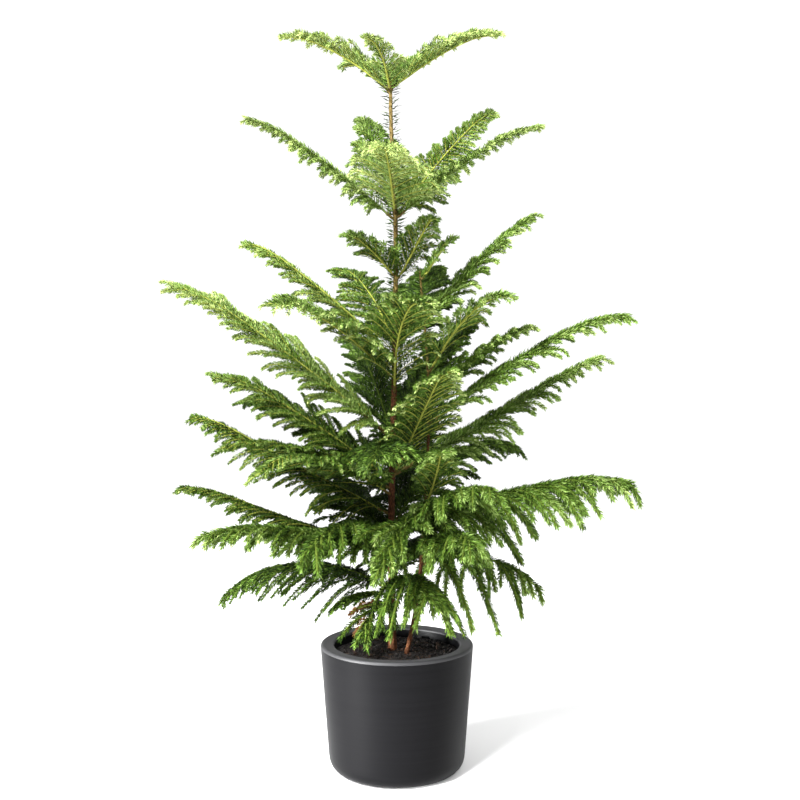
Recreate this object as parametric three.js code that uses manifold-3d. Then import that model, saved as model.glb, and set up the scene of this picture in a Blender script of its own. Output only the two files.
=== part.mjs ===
// A young Norfolk island pine with two stems, standing in a round pot.
// Millimetres, +Z up. The origin is the centre of the pot's flat underside.
// +X is to the right and +Y points away from someone who looks at the plant's front.

import * as THREE from 'three';
import Module from 'manifold-3d';

const wasm = await Module();
wasm.setup();

// Driving dimensions: the pot and its soil
const POT_HEIGHT = 206;
const POT_RIM_RADIUS = 125;
const POT_MOUTH_RADIUS = 103;
const POT_FOOT_RADIUS = 110;
const POT_CORNER_RADIUS = 24;
const POT_INNER_FOOT_RADIUS = 88;
const POT_FLOOR = 12;
const POT_SEGMENTS = 40;
const POT_CURVE_STEPS = 4;
const RIM_ROUNDING = 5;
const RIM_DIP = 1;
const SOIL_LEVEL = 188;
const GAP = 0.3;

// Driving dimensions: the two stems, each from its foot on the soil to its tip
const TRUNK_HEIGHT = 1150;
const SECOND_HEIGHT = 812;
const TRUNK = {
  name: 'trunk',
  footRadius: 6.2,
  topRadius: 2.9,
  tipRadius: 0.9,
  tipLength: 45,
  flare: 3.4,
  flareHeight: 14,
  sides: 10,
  step: 40,
  path: [
    [-7, 0, SOIL_LEVEL + GAP],
    [-9, 2, 420],
    [-5, 0, 600],
    [-2, 0, 880],
    [-9, 0, 1040],
    [-11, 0, TRUNK_HEIGHT],
  ],
};
const SECOND = {
  name: 'second_stem',
  footRadius: 3.4,
  topRadius: 1.9,
  tipRadius: 0.8,
  tipLength: 30,
  flare: 1.6,
  flareHeight: 10,
  sides: 8,
  step: 40,
  path: [
    [15, -22, SOIL_LEVEL + GAP],
    [32, -24, 276],
    [45, -24, 420],
    [51, -22, 627],
    [37, -18, SECOND_HEIGHT],
  ],
};

// Driving dimensions: the boughs, whorl by whorl from the top down.
// Azimuth is in degrees from +X towards +Y. A bough reaches out and rises by the given lengths,
// and bows up between its ends by arch times its length. Limb is the bare share of it, and roll turns
// it about its own line. Twig is the longest twig of the whorl, angle how far twigs near the stem spread,
// lift how steeply they start upwards and hang how far they sag. A bough may have its own of these.
const WHORLS = [
  { whorl: '1', stem: TRUNK, twig: 56, angle: 40, lift: 0.35, hang: 0.1, boughs: [
    { side: 'left', height: 1107, azimuth: 178, reach: 177, rise: 84, arch: 0.09, twig: 66 },
    { side: 'right', height: 1109, azimuth: -6, reach: 175, rise: 78, arch: 0.07, twig: 72 },
    { side: 'front', height: 1103, azimuth: 251, reach: 112, rise: 52, arch: 0.12, twig: 46 },
    { side: 'back', height: 1105, azimuth: 68, reach: 165, rise: 84, arch: 0.08 },
    { side: 'back_left', height: 1101, azimuth: 124, reach: 155, rise: 76, arch: 0.08 },
  ] },
  { whorl: '2', stem: TRUNK, twig: 86, angle: 58, lift: 0.2, hang: 0.2, boughs: [
    { side: 'left', height: 898, azimuth: 188, reach: 248, rise: 155, arch: 0.05, angle: 44, twig: 42,
      lift: -0.12 },
    { side: 'front', height: 906, azimuth: 265, reach: 190, rise: 66, arch: 0.1, angle: 62, twig: 92,
      lift: 0.25 },
    { side: 'right', height: 900, azimuth: -14, reach: 244, rise: 133, arch: 0.06, angle: 46, twig: 42,
      lift: 0.25 },
    { side: 'right_back', height: 904, azimuth: 25, reach: 190, rise: 188, arch: 0.03, roll: 60,
      angle: 56, twig: 52, lift: 0.1 },
    { side: 'left_back', height: 902, azimuth: 110, reach: 178, rise: 196, arch: 0.03, lift: 0.3 },
  ] },
  { whorl: '3', stem: TRUNK, twig: 64, angle: 50, lift: 0.2, hang: 0.15, boughs: [
    { side: 'front_left', height: 806, azimuth: 215, reach: 92, rise: 60, arch: 0.05 },
    { side: 'front_right', height: 800, azimuth: 318, reach: 78, rise: 92, arch: 0.05 },
  ] },
  { whorl: '4', stem: TRUNK, twig: 98, angle: 55, lift: 0.1, hang: 0.2, boughs: [
    { side: 'left', height: 676, azimuth: 185, reach: 247, rise: 182, arch: 0.03, roll: -25, angle: 38,
      twig: 74, lift: -0.1 },
    { side: 'left_front', height: 640, azimuth: 222, reach: 245, rise: 106, arch: 0.09, roll: -10,
      twig: 114, lift: 0.2 },
    { side: 'right', height: 690, azimuth: 12, reach: 244, rise: 224, arch: 0.02, roll: 10, angle: 28,
      twig: 84, lift: -0.05 },
    { side: 'front', height: 616, azimuth: 281, reach: 230, rise: 128, arch: 0.12, angle: 40, twig: 115,
      lift: 0.2 },
    { side: 'back', height: 682, azimuth: 72, reach: 255, rise: 160, arch: 0.05 },
    { side: 'back_left', height: 686, azimuth: 116, reach: 250, rise: 150, arch: 0.05 },
  ] },
  { whorl: '5', stem: TRUNK, twig: 98, angle: 30, lift: 0.08, hang: 0.15, boughs: [
    { side: 'left', height: 543, azimuth: 200, reach: 367, rise: 240, arch: 0.01, limb: 0.18, roll: -42,
      angle: 40, twig: 118 },
    { side: 'right_back', height: 555, azimuth: 45, reach: 200, rise: 190, arch: 0.06, angle: 52 },
    { side: 'back', height: 548, azimuth: 74, reach: 320, rise: 150, arch: 0.06 },
    { side: 'back_left', height: 538, azimuth: 108, reach: 320, rise: 175, arch: 0.06 },
  ] },
  { whorl: '6', stem: TRUNK, twig: 100, angle: 50, lift: 0.08, hang: 0.2, boughs: [
    { side: 'left', height: 474, azimuth: 190, reach: 292, rise: 170, arch: 0.03, roll: -30, twig: 118 },
    { side: 'left_front', height: 460, azimuth: 209, reach: 302, rise: 70, arch: 0.07 },
    { side: 'front_left', height: 450, azimuth: 233, reach: 315, rise: 50, arch: 0.1 },
    { side: 'front', height: 500, azimuth: 262, reach: 205, rise: 15, arch: 0.12, hang: 0.45 },
    { side: 'front_right', height: 478, azimuth: 291, reach: 220, rise: 168, arch: 0.09, angle: 52,
      twig: 110 },
    { side: 'right', height: 483, azimuth: 5, reach: 362, rise: 194, arch: -0.02, limb: 0.18, roll: 15,
      angle: 30, twig: 100, hang: 0.35 },
    { side: 'back', height: 462, azimuth: 78, reach: 335, rise: 110, arch: 0.07 },
    { side: 'back_left', height: 468, azimuth: 146, reach: 335, rise: 125, arch: 0.06 },
  ] },
  { whorl: '7', stem: TRUNK, twig: 104, angle: 48, lift: -0.02, hang: 0.35, boughs: [
    { side: 'left_up', height: 418, azimuth: 178, reach: 338, rise: 162, arch: -0.01, lift: -0.08 },
    { side: 'right', height: 396, azimuth: 351, reach: 396, rise: 75, arch: 0.04, limb: 0.18, twig: 128,
      hang: 0.62 },
    { side: 'right_front', height: 385, azimuth: 306, reach: 262, rise: 92, arch: 0.05, hang: 0.45 },
    { side: 'left_front', height: 365, azimuth: 211, reach: 332, rise: 38, arch: 0.03, hang: 0.3 },
    { side: 'front_left', height: 385, azimuth: 238, reach: 230, rise: 0, arch: 0.1, hang: 0.55 },
    { side: 'left', height: 354, azimuth: 186, reach: 349, rise: 112, arch: -0.02, limb: 0.2 },
    { side: 'right_back', height: 400, azimuth: 42, reach: 320, rise: 105, arch: 0.13, angle: 32 },
    { side: 'back', height: 372, azimuth: 80, reach: 335, rise: 105, arch: 0.1 },
    { side: 'back_left', height: 362, azimuth: 120, reach: 330, rise: 95, arch: 0.1 },
  ] },
  { whorl: '8', stem: TRUNK, twig: 100, angle: 50, lift: 0, hang: 0.5, boughs: [
    { side: 'left_back', height: 292, azimuth: 160, reach: 324, rise: -46, arch: 0.14 },
    { side: 'front', height: 300, azimuth: 292, reach: 150, rise: 0, arch: 0.14, angle: 55, twig: 105,
      hang: 0.8 },
    { side: 'front_left', height: 272, azimuth: 238, reach: 92, rise: -46, arch: 0.14, angle: 40,
      twig: 84 },
    { side: 'left', height: 282, azimuth: 176, reach: 105, rise: -30, arch: 0.12, angle: 22, twig: 36 },
    { side: 'back', height: 306, azimuth: 66, reach: 260, rise: 12, arch: 0.14, twig: 110, hang: 0.3 },
  ] },
  { whorl: 's1', stem: SECOND, twig: 46, angle: 46, lift: 0.2, hang: 0.15, boughs: [
    { side: 'right', height: 798, azimuth: 8, reach: 55, rise: 68, arch: 0.05 },
  ] },
  { whorl: 's2', stem: SECOND, twig: 80, angle: 46, lift: 0.15, hang: 0.2, boughs: [
    { side: 'right', height: 606, azimuth: 345, reach: 172, rise: 113, arch: 0.05 },
    { side: 'front_right', height: 648, azimuth: 320, reach: 162, rise: 114, arch: 0.14 },
  ] },
  { whorl: 's3', stem: SECOND, twig: 90, angle: 26, lift: 0.05, hang: 0.2, boughs: [
    { side: 'right', height: 565, azimuth: 352, reach: 323, rise: 172, arch: 0.06, roll: 10, angle: 24,
      twig: 84, lift: -0.05 },
  ] },
  { whorl: 's4', stem: SECOND, twig: 98, angle: 50, lift: 0, hang: 0.5, boughs: [
    { side: 'front_up', height: 432, azimuth: 275, reach: 180, rise: 96, arch: 0.1, angle: 34, twig: 80,
      lift: 0.1, hang: 0.2 },
    { side: 'front', height: 402, azimuth: 250, reach: 200, rise: -45, arch: 0.14, angle: 25, twig: 110,
      hang: 0.12 },
    { side: 'front_right', height: 352, azimuth: 290, reach: 200, rise: 46, arch: 0.09 },
    { side: 'right', height: 338, azimuth: 14, reach: 212, rise: -58, arch: 0.13, angle: 95, twig: 100,
      hang: 0.8 },
  ] },
];

// Driving dimensions: twigs. A twig stands for a spray of needles: a flat blade with teeth on its edges.
const SEED = 7137;
const TWIG_SPACING = 53;
const TWIG_SHARE_MOST = 0.7;
const FIRST_TWIG = 0.06;
const LAST_TWIG = 0.97;
const TIP_ANGLE_SHARE = 0.6;
const WIDEST_AT = 0.13;
const TWIG_NOD = 9;
const TWIG_NOD_LENGTH = 18;
const SHORTER = [1, 0.72, 0.5];

// Blades: half a blade's width, and the teeth of long and short ones.
// A tooth's row is its share of the blade's length, then the shares of the half width left and right.
const LONG_TWIG = 46;
const BLADE_WIDTH_SHARE = 0.13;
const BLADE_WIDTH_LEAST = 5;
const BLADE_WIDTH_MOST = 11;
const BLADE_THICKNESS = 0.4;
const WIDEST_BLADE_AT = 0.42;
const LONG_TEETH = [[0.2, 1, 0.4], [0.42, 0.35, 1], [0.64, 0.85, 0.3]];
const SHORT_TEETH = [[0.28, 1, 0.45], [0.55, 0.3, 0.9]];

// Boughs: radii, how far they sweep sideways and roll, in shares of their length and degrees
const LIMB_ROOT_RADIUS = 3.4;
const LIMB_SIDES = 6;
const LIMB_STEPS = 3;
const AXIS_ROOT_RADIUS = 2.1;
const AXIS_TIP_RADIUS = 1;
const AXIS_STEPS = 5;
const SWEEP = 0.05;
const ROLL = 12;
const AXIS_NOD = 0.05;
const AXIS_NOD_FROM = 0.72;

// Room kept between the masses
const ROOM = 0.8;
const BALL_STEP = 5;
const BALL_RADIUS = 4;

// Finishes
const FINISH = {
  pot: { color: 0x2d2f33, roughness: 0.55, metalness: 0 },
  soil: { color: 0x2a1e16, roughness: 0.95, metalness: 0 },
  bark: { color: 0x7d4a30, roughness: 0.85, metalness: 0 },
  needles: { color: 0x6f9a34, roughness: 0.6, metalness: 0 },
};

const UP = new THREE.Vector3(0, 0, 1);

// Small helpers

function vector(x, y, z) {
  return new THREE.Vector3(x, y, z);
}

function mix(from, to, share) {
  return from + (to - from) * share;
}

// The same seed gives the same row of numbers between 0 and 1.
function seededRandom(seed) {
  let state = seed;
  return () => {
    state = (state * 1664525 + 1013904223) % 4294967296;
    return state / 4294967296;
  };
}

function namedMesh(name, geometry, finish) {
  const mesh = new THREE.Mesh(geometry, new THREE.MeshStandardMaterial(FINISH[finish]));
  mesh.name = name;
  return mesh;
}

function indexedGeometry(coordinates, triangles) {
  const geometry = new THREE.BufferGeometry();
  geometry.setAttribute('position', new THREE.Float32BufferAttribute(coordinates, 3));
  geometry.setIndex(triangles);
  geometry.computeVertexNormals();
  return geometry;
}

// A closed skin through rings of corners. Each end is flat, or pointed where a tip or a root is given.
function loft(rings, tip, root) {
  const corners = rings[0].length;
  const points = rings.flat();
  const triangles = [];
  for (let ring = 0; ring + 1 < rings.length; ring += 1) {
    for (let corner = 0; corner < corners; corner += 1) {
      const here = ring * corners + corner;
      const beside = ring * corners + (corner + 1) % corners;
      triangles.push(here, beside, beside + corners);
      triangles.push(here, beside + corners, here + corners);
    }
  }
  const last = (rings.length - 1) * corners;
  for (let corner = 1; corner + 1 < corners; corner += 1) {
    if (!root) {
      triangles.push(0, corner + 1, corner);
    }
    if (!tip) {
      triangles.push(last, last + corner, last + corner + 1);
    }
  }
  for (let corner = 0; corner < corners; corner += 1) {
    const beside = (corner + 1) % corners;
    if (root) {
      triangles.push(beside, corner, points.length);
    }
    if (tip) {
      triangles.push(last + corner, last + beside, points.length + (root ? 1 : 0));
    }
  }
  points.push(...[root, tip].filter(Boolean));
  return indexedGeometry(points.flatMap((point) => point.toArray()), triangles);
}

// A round ring about a point, at right angles to a direction.
function roundRing(centre, direction, radius, sides) {
  const across = vector().crossVectors(direction, UP);
  if (across.lengthSq() < 1e-6) {
    across.set(1, 0, 0);
  }
  across.normalize();
  const above = vector().crossVectors(across, direction).normalize();
  const ring = [];
  for (let corner = 0; corner < sides; corner += 1) {
    const angle = (2 * Math.PI * corner) / sides;
    const point = centre.clone();
    point.addScaledVector(above, radius * Math.cos(angle));
    point.addScaledVector(across, radius * Math.sin(angle));
    ring.push(point);
  }
  return ring;
}

function toSolid(geometry) {
  const vertProperties = Float32Array.from(geometry.getAttribute('position').array);
  const triVerts = Uint32Array.from(geometry.getIndex().array);
  return new wasm.Manifold(new wasm.Mesh({ numProp: 3, vertProperties, triVerts }));
}

function toGeometry(solid) {
  const mesh = solid.getMesh();
  return indexedGeometry(Array.from(mesh.vertProperties), Array.from(mesh.triVerts));
}

// The pot: a round shell with a rounded foot and a thick rounded rim

// Turns an outline that starts and ends on the axis about +Z.
function turned(outline) {
  const geometry = new THREE.LatheGeometry(outline, POT_SEGMENTS);
  geometry.rotateX(Math.PI / 2);
  return geometry;
}

function makePot() {
  const foot = POT_FOOT_RADIUS - POT_CORNER_RADIUS;
  const slope = (POT_RIM_RADIUS - POT_FOOT_RADIUS) / POT_HEIGHT;
  const wallStart = POT_FOOT_RADIUS + slope * POT_CORNER_RADIUS;
  const shoulder = POT_HEIGHT - RIM_ROUNDING;
  const lip = POT_HEIGHT - RIM_DIP;
  const outline = new THREE.Path();
  outline.moveTo(0, 0);
  outline.lineTo(foot, 0);
  outline.quadraticCurveTo(POT_FOOT_RADIUS, 0, wallStart, POT_CORNER_RADIUS);
  outline.lineTo(POT_RIM_RADIUS, shoulder);
  outline.quadraticCurveTo(POT_RIM_RADIUS, POT_HEIGHT, POT_RIM_RADIUS - RIM_ROUNDING, POT_HEIGHT);
  outline.lineTo(POT_MOUTH_RADIUS + RIM_ROUNDING, lip);
  outline.quadraticCurveTo(POT_MOUTH_RADIUS, lip, POT_MOUTH_RADIUS, shoulder);
  outline.lineTo(POT_INNER_FOOT_RADIUS, POT_FLOOR);
  outline.lineTo(0, POT_FLOOR);
  return turned(outline.getPoints(POT_CURVE_STEPS));
}

// The soil fills the pot up to its level, a hair clear of the wall.
function makeSoil() {
  const bottom = POT_FLOOR + GAP;
  const innerRadius = (height) => mix(POT_INNER_FOOT_RADIUS, POT_MOUTH_RADIUS,
    (height - POT_FLOOR) / (POT_HEIGHT - RIM_ROUNDING - POT_FLOOR));
  const outline = new THREE.Path();
  outline.moveTo(0, bottom);
  outline.lineTo(innerRadius(bottom) - GAP, bottom);
  outline.lineTo(innerRadius(SOIL_LEVEL) - GAP, SOIL_LEVEL);
  outline.lineTo(0, SOIL_LEVEL);
  return turned(outline.getPoints());
}

// The stems

function stemCurve(stem) {
  return new THREE.CatmullRomCurve3(stem.path.map((point) => vector(...point)));
}

// The stem's centre at a height, found by halving the curve.
function stemCentre(stem, height) {
  const curve = stemCurve(stem);
  let low = 0;
  let high = 1;
  for (let pass = 0; pass < 24; pass += 1) {
    const middle = (low + high) / 2;
    if (curve.getPoint(middle).z < height) {
      low = middle;
    } else {
      high = middle;
    }
  }
  return curve.getPoint(low);
}

function stemRadius(stem, height) {
  const top = stem.path.at(-1)[2];
  const shoulder = top - stem.tipLength;
  const share = Math.min(1, (height - SOIL_LEVEL) / (shoulder - SOIL_LEVEL));
  const flare = stem.flare * Math.exp(-(height - SOIL_LEVEL) / stem.flareHeight);
  const narrowing = Math.max(0, (height - shoulder) / stem.tipLength);
  return mix(mix(stem.footRadius, stem.topRadius, share) + flare, stem.tipRadius, narrowing);
}

function makeStem(stem) {
  const foot = stem.path[0][2];
  const top = stem.path.at(-1)[2];
  const heights = [foot, foot + stem.flareHeight, foot + 2.5 * stem.flareHeight];
  const count = Math.round((top - heights[2]) / stem.step);
  for (let index = 1; index <= count; index += 1) {
    heights.push(mix(heights[2], top, index / count));
  }
  const rings = heights.map((height) => (
    roundRing(stemCentre(stem, height), UP, stemRadius(stem, height), stem.sides)));
  return loft(rings);
}

// The axis of a bough from its stem to its tip, as a rule that gives a point for each share of its length

function makeAxis(whorl, bough, random) {
  const azimuth = THREE.MathUtils.degToRad(bough.azimuth);
  const outward = vector(Math.cos(azimuth), Math.sin(azimuth), 0);
  const sideways = vector(-outward.y, outward.x, 0);
  const length = Math.hypot(bough.reach, bough.rise);
  const sweep = SWEEP * length * (2 * random() - 1);
  const roll = THREE.MathUtils.degToRad((bough.roll ?? 0) + ROLL * (2 * random() - 1));
  const centre = stemCentre(whorl.stem, bough.height);
  const start = centre.clone().addScaledVector(outward, stemRadius(whorl.stem, bough.height) + GAP);
  const run = bough.reach - start.distanceTo(centre);
  const pointAt = (share) => {
    const bow = 4 * share * (1 - share);
    const point = start.clone();
    point.addScaledVector(outward, run * share);
    point.addScaledVector(sideways, sweep * bow);
    const fall = Math.max(0, (share - AXIS_NOD_FROM) / (1 - AXIS_NOD_FROM)) ** 2;
    point.z += bough.rise * share + (bough.arch * bow + AXIS_NOD * (share - fall)) * length;
    return point;
  };
  const directionAt = (share) => pointAt(share + 0.01).sub(pointAt(share - 0.01)).normalize();
  const normalAt = (share) => {
    const direction = directionAt(share);
    const across = vector().crossVectors(direction, UP).normalize();
    return vector().crossVectors(across, direction).applyAxisAngle(direction, roll);
  };
  const { twig, angle, lift, hang } = { ...whorl, ...bough };
  return { outward, length, twig, angle, lift, hang, pointAt, directionAt, normalAt };
}

// Balls of space that limbs and twigs have taken, so that no two masses meet
const taken = [];

function takeSpace(owner, points, radius) {
  points.forEach((point) => taken.push({ owner, point, radius }));
}

function isInPot(point, room) {
  const fromAxis = Math.hypot(point.x, point.y);
  const overWall = fromAxis > POT_MOUTH_RADIUS - room && fromAxis < POT_RIM_RADIUS + room;
  return point.z < SOIL_LEVEL + room || (overWall && point.z < POT_HEIGHT + room);
}

function isFree(owner, points, radius) {
  const room = radius + ROOM;
  if (points.some((point) => isInPot(point, room))) {
    return false;
  }
  return taken.every((ball) => ball.owner === owner
    || points.every((point) => point.distanceTo(ball.point) > ball.radius + room));
}

// Points along a rule, about one ball step apart.
function pointsAlong(pointAt, length, from) {
  const count = Math.max(2, Math.ceil((length * (1 - from)) / BALL_STEP));
  return Array.from({ length: count + 1 }, (_, index) => pointAt(mix(from, 1, index / count)));
}

// The share of the longest twig that grows at a place along the bough: a willow leaf's outline.
function twigProfile(share) {
  const rising = Math.min(1, share / WIDEST_AT) ** 0.35;
  const falling = 1 - Math.max(0, (share - WIDEST_AT) / (1 - WIDEST_AT));
  return rising * Math.max(0.25, falling ** 0.75);
}

// One twig of a bough: where it starts, which way it goes and how long it is.
function makeTwig(axis, root, share, side, random) {
  const direction = axis.directionAt(share);
  const normal = axis.normalAt(share);
  const across = vector().crossVectors(direction, normal).multiplyScalar(side);
  const spreadAngle = axis.angle * mix(1, TIP_ANGLE_SHARE, share) + 8 * (2 * random() - 1);
  const angle = THREE.MathUtils.degToRad(spreadAngle);
  const heading = direction.clone().multiplyScalar(Math.cos(angle));
  heading.addScaledVector(across, Math.sin(angle));
  heading.addScaledVector(normal, axis.lift + 0.1 * (2 * random() - 1));
  heading.normalize();
  const longest = Math.min(axis.twig, TWIG_SHARE_MOST * axis.length);
  const length = longest * twigProfile(share) * (0.88 + 0.24 * random());
  return { root, heading, normal, length, hang: axis.hang };
}

function twigPoint(twig, length, share) {
  const point = twig.root.clone().addScaledVector(twig.heading, length * share);
  const nod = TWIG_NOD * Math.max(0, 1 - ((1 - share) * length) / TWIG_NOD_LENGTH) ** 2;
  point.z -= twig.hang * length * share * share + nod;
  return point;
}

function twigDirection(twig, length, share) {
  return twigPoint(twig, length, share + 0.02).sub(twigPoint(twig, length, share - 0.02)).normalize();
}

function bladeHalfWidth(length) {
  return THREE.MathUtils.clamp(BLADE_WIDTH_SHARE * length, BLADE_WIDTH_LEAST, BLADE_WIDTH_MOST);
}

// The middle and both edges of a blade, as points about one ball step apart.
function bladePoints(twig, length, from) {
  const halfWidth = bladeHalfWidth(length);
  return pointsAlong((share) => share, length, from).flatMap((share) => {
    const centre = twigPoint(twig, length, share);
    const across = vector().crossVectors(twig.normal, twigDirection(twig, length, share)).normalize();
    const width = halfWidth * Math.min(1, share / WIDEST_BLADE_AT, (1 - share) / (1 - WIDEST_BLADE_AT));
    const edges = [-width, width].map((offset) => centre.clone().addScaledVector(across, offset));
    return [centre, ...edges];
  });
}

// The blade of a twig: flat three-cornered rings, each wide on the side that has a tooth there.
function makeBlade(twig, length) {
  const halfWidth = bladeHalfWidth(length);
  const stations = length > LONG_TWIG ? LONG_TEETH : SHORT_TEETH;
  const rings = stations.map(([share, leftShare, rightShare]) => {
    const centre = twigPoint(twig, length, share);
    const ahead = twigDirection(twig, length, share);
    const across = vector().crossVectors(twig.normal, ahead).normalize();
    const above = vector().crossVectors(ahead, across);
    const left = halfWidth * leftShare;
    const right = halfWidth * rightShare;
    const rise = Math.max(left, right) * BLADE_THICKNESS;
    return [[left, -rise], [0, rise], [-right, -rise]].map(([sideways, upward]) => (
      centre.clone().addScaledVector(across, sideways).addScaledVector(above, upward)));
  });
  return loft(rings, twigPoint(twig, length, 1), twig.root);
}

// The woody limb of a bough, bare up to the place where the foliage begins.
function makeLimb(axis, limb) {
  const rings = [roundRing(axis.pointAt(0), axis.outward, LIMB_ROOT_RADIUS, LIMB_SIDES)];
  for (let step = 1; step <= LIMB_STEPS; step += 1) {
    const share = (limb * step) / LIMB_STEPS;
    const radius = mix(LIMB_ROOT_RADIUS, AXIS_ROOT_RADIUS, step / LIMB_STEPS);
    rings.push(roundRing(axis.pointAt(share), axis.directionAt(share), radius, LIMB_SIDES));
  }
  return loft(rings);
}

// The foliage of a bough: its three-sided stem with every twig that has room fused on.
function makeFoliage(name, axis, limb, random) {
  const from = limb > 0 ? limb + GAP / axis.length : 0;
  const ringCentre = (step) => axis.pointAt(mix(from, 1, step / AXIS_STEPS));
  const rings = [];
  for (let step = 0; step < AXIS_STEPS; step += 1) {
    const share = mix(from, 1, step / AXIS_STEPS);
    const direction = share === 0 ? axis.outward : axis.directionAt(share);
    const radius = mix(AXIS_ROOT_RADIUS, AXIS_TIP_RADIUS, step / AXIS_STEPS);
    rings.push(roundRing(ringCentre(step), direction, radius, 3));
  }
  // The middle of the stem, straight from ring to ring, so that each twig's root is sunk in it.
  const middleAt = (share) => {
    const place = ((share - from) / (1 - from)) * AXIS_STEPS;
    const step = Math.floor(place);
    return ringCentre(step).lerp(ringCentre(step + 1), place - step);
  };
  let solid = toSolid(loft(rings, axis.pointAt(1)));
  const first = Math.max(FIRST_TWIG, from + 0.03);
  const count = Math.round((axis.length * (1 - first)) / TWIG_SPACING) * 2;
  for (let index = 0; index < count; index += 1) {
    const share = mix(first, LAST_TWIG, (index + 0.3 + 0.4 * random()) / count);
    const twig = makeTwig(axis, middleAt(share), share, index % 2 ? 1 : -1, random);
    const fitting = SHORTER.map((part) => part * twig.length).find((length) => (
      isFree(name, bladePoints(twig, length, 0.05), BALL_RADIUS)));
    if (fitting) {
      takeSpace(name, bladePoints(twig, fitting, 0), BALL_RADIUS);
      solid = solid.add(toSolid(makeBlade(twig, fitting)));
    }
  }
  return toGeometry(solid);
}

// The whole plant

const plant = new THREE.Group();
plant.add(namedMesh('pot', makePot(), 'pot'));
plant.add(namedMesh('soil', makeSoil(), 'soil'));
[TRUNK, SECOND].forEach((stem) => {
  plant.add(namedMesh(stem.name, makeStem(stem), 'bark'));
  const top = stem.path.at(-1)[2];
  for (let height = SOIL_LEVEL + BALL_STEP; height < top; height += BALL_STEP) {
    takeSpace(stem.name, [stemCentre(stem, height)], stemRadius(stem, height));
  }
});

const random = seededRandom(SEED);
const grown = WHORLS.flatMap((whorl) => whorl.boughs.map((bough) => {
  const name = `foliage_${whorl.whorl}_${bough.side}`;
  const axis = makeAxis(whorl, bough, random);
  takeSpace(name, pointsAlong(axis.pointAt, axis.length, 0), LIMB_ROOT_RADIUS);
  return { name, axis, bough };
}));

grown.forEach(({ name, axis, bough }) => {
  const limb = bough.limb ?? 0;
  if (limb > 0) {
    plant.add(namedMesh(name.replace('foliage', 'bough'), makeLimb(axis, limb), 'bark'));
  }
  plant.add(namedMesh(name, makeFoliage(name, axis, limb, random), 'needles'));
});

export default plant;
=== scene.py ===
# The looks of a young potted Norfolk island pine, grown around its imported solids.
# Sizes are in millimetres until a mesh is made, and the frame is the solids' own:
# +Z up, +X to the right, +Y away from someone who looks at the front.

import itertools
import math
from dataclasses import dataclass

import bpy
import numpy as np
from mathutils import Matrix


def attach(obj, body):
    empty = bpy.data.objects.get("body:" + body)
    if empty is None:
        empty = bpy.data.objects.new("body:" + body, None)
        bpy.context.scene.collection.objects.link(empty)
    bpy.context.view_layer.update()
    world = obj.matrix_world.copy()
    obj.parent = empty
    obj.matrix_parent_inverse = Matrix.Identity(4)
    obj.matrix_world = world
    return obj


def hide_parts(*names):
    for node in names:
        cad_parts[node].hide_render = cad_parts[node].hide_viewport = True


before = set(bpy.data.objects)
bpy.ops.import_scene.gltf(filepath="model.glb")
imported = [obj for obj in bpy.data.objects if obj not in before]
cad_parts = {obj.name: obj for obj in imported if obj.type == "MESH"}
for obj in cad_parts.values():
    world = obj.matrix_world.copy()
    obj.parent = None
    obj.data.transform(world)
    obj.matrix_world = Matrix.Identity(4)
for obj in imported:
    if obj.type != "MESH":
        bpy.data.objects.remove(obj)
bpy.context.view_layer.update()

MM = 0.001
SEED = 7137
MOST_TRIANGLES = 190000
UP = np.array([0.0, 0.0, 1.0])
BACK = np.array([0.0, 1.0, 0.0])
rng = np.random.default_rng(SEED)

# Seeded draws and lattice noise
DRAW_FACTOR = 1664525
DRAW_STEP = 1013904223
DRAW_RANGE = 2 ** 32
LATTICE_PRIMES = np.array([73856093, 19349663, 83492791])
SEED_PRIME = 2654435761
MIXING_PRIME = 1274126177
LOW_BITS = 65535

# Pot
POT_HEIGHT = 206
POT_RIM_RADIUS = 125
POT_MOUTH_RADIUS = 103
POT_FOOT_RADIUS = 110
POT_CORNER_RADIUS = 24
POT_INNER_FOOT_RADIUS = 88
POT_CENTRE_RADIUS = 0.5
POT_FLOOR = 12
POT_SEGMENTS = 144
POT_CURVE_STEPS = 10
POT_WALL_STEPS = 24
POT_FLAT_STEPS = 4
RIM_ROUNDING = 5
RIM_DIP = 1

# Soil, where a lump is the cell, the share and the seed of a noise
SOIL_LEVEL = 188
SOIL_RINGS = 44
SOIL_SEGMENTS = 132
SOIL_CENTRE_RADIUS = 0.3
SOIL_OVERLAP = 0.2
SOIL_RELIEF = 5
SOIL_LUMPS = [(16, 0.55, 3), (6, 0.3, 4), (2.6, 0.15, 5)]
LUMPS_MIDDLE = 0.4
MOUND_HEIGHT = 4
MOUND_CENTRE = (2, -8)
MOUND_SPREAD = 1300
GAP = 0.3

# Crumbs and fibres on the soil
CRUMB_LEAST = 0.7
CRUMB_LUMPS = 0.55
CRUMB_NARROWING = 0.4
CRUMB_LIFT = 0.35
FIBRE_STEPS = 6
FIBRE_SIDES = 3
FIBRE_RADIUS = 0.3
FIBRE_BEND = 0.9
FIBRE_MARGIN = 0.55
FIBRE_LIFT = 1.2
FIBRE_ARCH = 2.5


# Stems
@dataclass
class Stem:
    name: str
    foot_radius: float
    top_radius: float
    tip_radius: float
    tip_length: float
    flare: float
    flare_height: float
    path: list


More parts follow.
